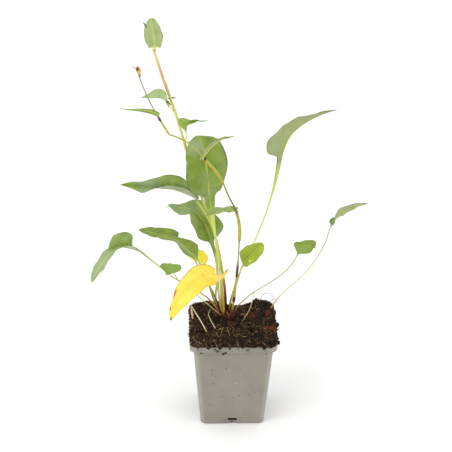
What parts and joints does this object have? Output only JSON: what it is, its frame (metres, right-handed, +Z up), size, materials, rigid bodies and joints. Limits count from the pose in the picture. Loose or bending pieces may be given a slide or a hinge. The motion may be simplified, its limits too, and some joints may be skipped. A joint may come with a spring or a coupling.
{
  "type": "potted common bistort plant",
  "caption": "Common bistort growing in a square grey nursery pot: a crown of long-stalked green and yellow leaves, a tall leafy stem and a thin flower stem with a closed bud.",
  "frame": {"origin": "centre of the pot's underside, on the surface it stands on", "axes": "+Z up, -Y the front seen in the picture, +X to the right of it"},
  "size_m": [0.2827, 0.1255, 0.425],
  "materials": {
    "pot": "matt grey moulded plastic with dirt specks",
    "soil": "damp fibrous peat",
    "crown": "reddish-brown fibrous leaf bases",
    "tall_stem": "smooth yellow-green, reddish at the foot",
    "flower_stem": "smooth yellow-olive with dark joints",
    "flower_bud": "papery brown and yellow-green scales",
    "leaf": "semi-matt green upper face with a faint bluish sheen",
    "leaf_underside": "matt pale grey-green",
    "leaf_yellow_green": "semi-matt yellow-green",
    "leaf_yellow": "semi-matt bright yellow with brown marks",
    "straw": "dry pale straw",
    "twig": "dark dry stalk",
    "bark": "rough red-brown bark"
  },
  "bodies": {
    "root": {"pot": "pot", "soil": "soil", "crown": "crown", "tall_stem": "tall_stem", "flower_stem": "flower_stem", "flower_bud": "flower_bud", "leaf_broad": "leaf", "leaf_left_long": "leaf", "leaf_centre": "leaf", "leaf_left_back": "leaf", "leaf_left_front": "leaf", "leaf_yellow_small": "leaf_yellow_green", "leaf_yellow": "leaf_yellow", "leaf_far_left": "leaf", "leaf_small_left": "leaf", "leaf_tall_right": "leaf_underside", "leaf_bright": "leaf_yellow_green", "leaf_small_right": "leaf", "leaf_far_right": "leaf_underside", "tall_stem_leaf_top": "leaf_underside", "tall_stem_leaf_left": "leaf_underside", "tall_stem_leaf_right": "leaf", "flower_stem_leaf_upper": "leaf", "flower_stem_leaf_middle": "leaf_underside", "flower_stem_leaf_lower": "leaf", "straw_long": "straw", "straw_short": "straw", "grass_blade": "straw", "dry_thread": "straw", "twig": "twig", "bark_chip_middle": "bark", "bark_chip_right": "bark", "bark_chip_back": "bark"}
  },
  "joints": []
}
